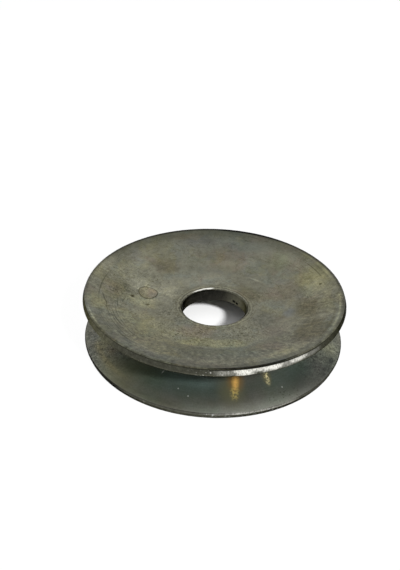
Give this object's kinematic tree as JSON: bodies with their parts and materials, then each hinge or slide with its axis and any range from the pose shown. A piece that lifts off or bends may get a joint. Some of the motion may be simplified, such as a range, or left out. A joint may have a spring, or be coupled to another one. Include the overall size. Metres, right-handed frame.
{
  "type": "v-belt pulley",
  "caption": "Pressed steel V-belt pulley for an alternator: dished discs welded back to back, a plain shaft bore and a single belt groove.",
  "frame": {"origin": "centre of the shaft bore, on the middle plane of the belt groove, where the two halves touch", "axes": "+Z along the bore axis, out of the front half's dish; the pulley lies on the rear half's rim"},
  "size_m": [0.068, 0.068, 0.0144],
  "materials": {
    "plated_steel": "zinc plated steel sheet with a dull, blotchy yellow passivation"
  },
  "bodies": {
    "root": {"front_half": "plated_steel", "rear_half": "plated_steel"}
  },
  "joints": []
}
